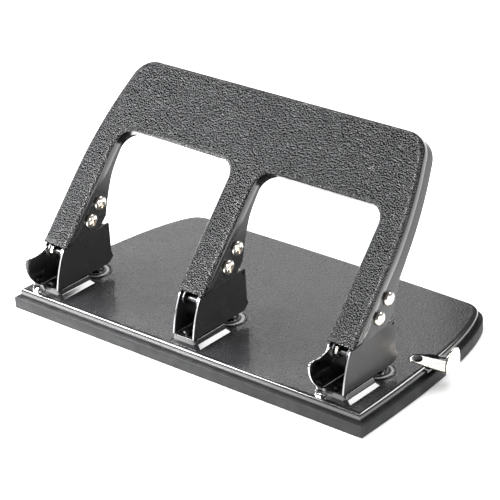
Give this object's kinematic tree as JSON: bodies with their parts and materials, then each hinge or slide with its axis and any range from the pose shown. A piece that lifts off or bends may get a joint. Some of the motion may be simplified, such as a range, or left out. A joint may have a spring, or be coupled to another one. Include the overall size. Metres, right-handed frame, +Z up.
{
  "type": "three hole punch",
  "caption": "Heavy duty desk punch for filing paper: wide padded lever handle on a row of channel brackets with spring-returned punch pins, flat base plate, edge guide and pull-off chip tray.",
  "frame": {"origin": "centre of the flat underside of the chip tray, where it rests on the desk", "axes": "+X along the row of punch heads towards the edge guide, +Y from the hinge side to the paper side, +Z up"},
  "size_m": [0.2727, 0.152, 0.1341],
  "materials": {
    "tray_plastic": "matte moulded, fine grain",
    "base_paint": "semi-gloss black leather-grain powder coat, glossy rim",
    "bracket_paint": "satin black",
    "handle_paint": "smooth semi-gloss black",
    "grip_skin": "pebble-grain black skin",
    "lever_steel": "dark zinc",
    "nickel": "warm bright nickel",
    "chrome_plate": "bright chrome, polished edges",
    "tool_steel": "ground hardened steel",
    "pin_steel": "turned zinc plated",
    "spring_steel": "drawn wire",
    "black_steel": "black oxide"
  },
  "bodies": {
    "base": {"base_plate": "base_paint", "guide_rivet": "black_steel", "die_left": "tool_steel", "bracket_left": "bracket_paint", "pivot_pin_left": "pin_steel", "stop_pin_left": "pin_steel", "bracket_rivet_left_1": "black_steel", "bracket_rivet_left_2": "black_steel", "die_middle": "tool_steel", "bracket_middle": "bracket_paint", "pivot_pin_middle": "pin_steel", "stop_pin_middle": "pin_steel", "bracket_rivet_middle_1": "black_steel", "bracket_rivet_middle_2": "black_steel", "die_right": "tool_steel", "bracket_right": "bracket_paint", "pivot_pin_right": "pin_steel", "stop_pin_right": "pin_steel", "bracket_rivet_right_1": "black_steel", "bracket_rivet_right_2": "black_steel", "pivot_nut_left": "nickel", "pivot_nut_right": "nickel"},
    "handle": {"handle_frame": "handle_paint", "handle_pad": "grip_skin", "lever_left": "lever_steel", "clamp_screw_left_1": "nickel", "clamp_nut_left_1": "nickel", "clamp_screw_left_2": "nickel", "clamp_nut_left_2": "nickel", "lever_middle": "lever_steel", "clamp_screw_middle_1": "nickel", "clamp_nut_middle_1": "nickel", "clamp_screw_middle_2": "nickel", "clamp_nut_middle_2": "nickel", "lever_right": "lever_steel", "clamp_screw_right_1": "nickel", "clamp_nut_right_1": "nickel", "clamp_screw_right_2": "nickel", "clamp_nut_right_2": "nickel", "stop_plate_left": "chrome_plate", "stop_plate_right": "chrome_plate"},
    "pin_left": {"punch_pin_left": "tool_steel", "cross_pin_left": "pin_steel", "spring_washer_left": "pin_steel", "return_spring_left": "spring_steel"},
    "pin_middle": {"punch_pin_middle": "tool_steel", "cross_pin_middle": "pin_steel", "spring_washer_middle": "pin_steel", "return_spring_middle": "spring_steel"},
    "pin_right": {"punch_pin_right": "tool_steel", "cross_pin_right": "pin_steel", "spring_washer_right": "pin_steel", "return_spring_right": "spring_steel"},
    "edge_guide": {"edge_guide": "nickel"},
    "chip_tray": {"chip_tray": "tray_plastic"}
  },
  "joints": [
    {"name": "handle_press", "type": "hinge", "parent": "base", "child": "handle", "pos_m": [0, -0.0557, 0.0375], "axis": [-1, 0, 0], "range_deg": [0, 15.5], "stiffness_Nm_per_rad": 3, "springref_deg": -14.32},
    {"name": "punch_left", "type": "slide", "parent": "base", "child": "pin_left", "axis": [0, 0, -1], "range_m": [0, 0.0077], "deforming": ["return_spring_left"]},
    {"name": "punch_middle", "type": "slide", "parent": "base", "child": "pin_middle", "axis": [0, 0, -1], "range_m": [0, 0.0077], "deforming": ["return_spring_middle"]},
    {"name": "punch_right", "type": "slide", "parent": "base", "child": "pin_right", "axis": [0, 0, -1], "range_m": [0, 0.0077], "deforming": ["return_spring_right"]},
    {"name": "guide_swing", "type": "hinge", "parent": "base", "child": "edge_guide", "pos_m": [0.1175, -0.0033, 0.0123], "axis": [0, 0, 1], "range_deg": [0, 8]},
    {"name": "tray_pull", "type": "slide", "parent": "base", "child": "chip_tray", "axis": [0, 0, -1], "range_m": [0, 0.03]}
  ],
  "couplings": [
    {"joint": "punch_left", "follows": "handle_press", "m_per_rad": 0.0284},
    {"joint": "punch_middle", "follows": "handle_press", "m_per_rad": 0.0284},
    {"joint": "punch_right", "follows": "handle_press", "m_per_rad": 0.0284}
  ]
}
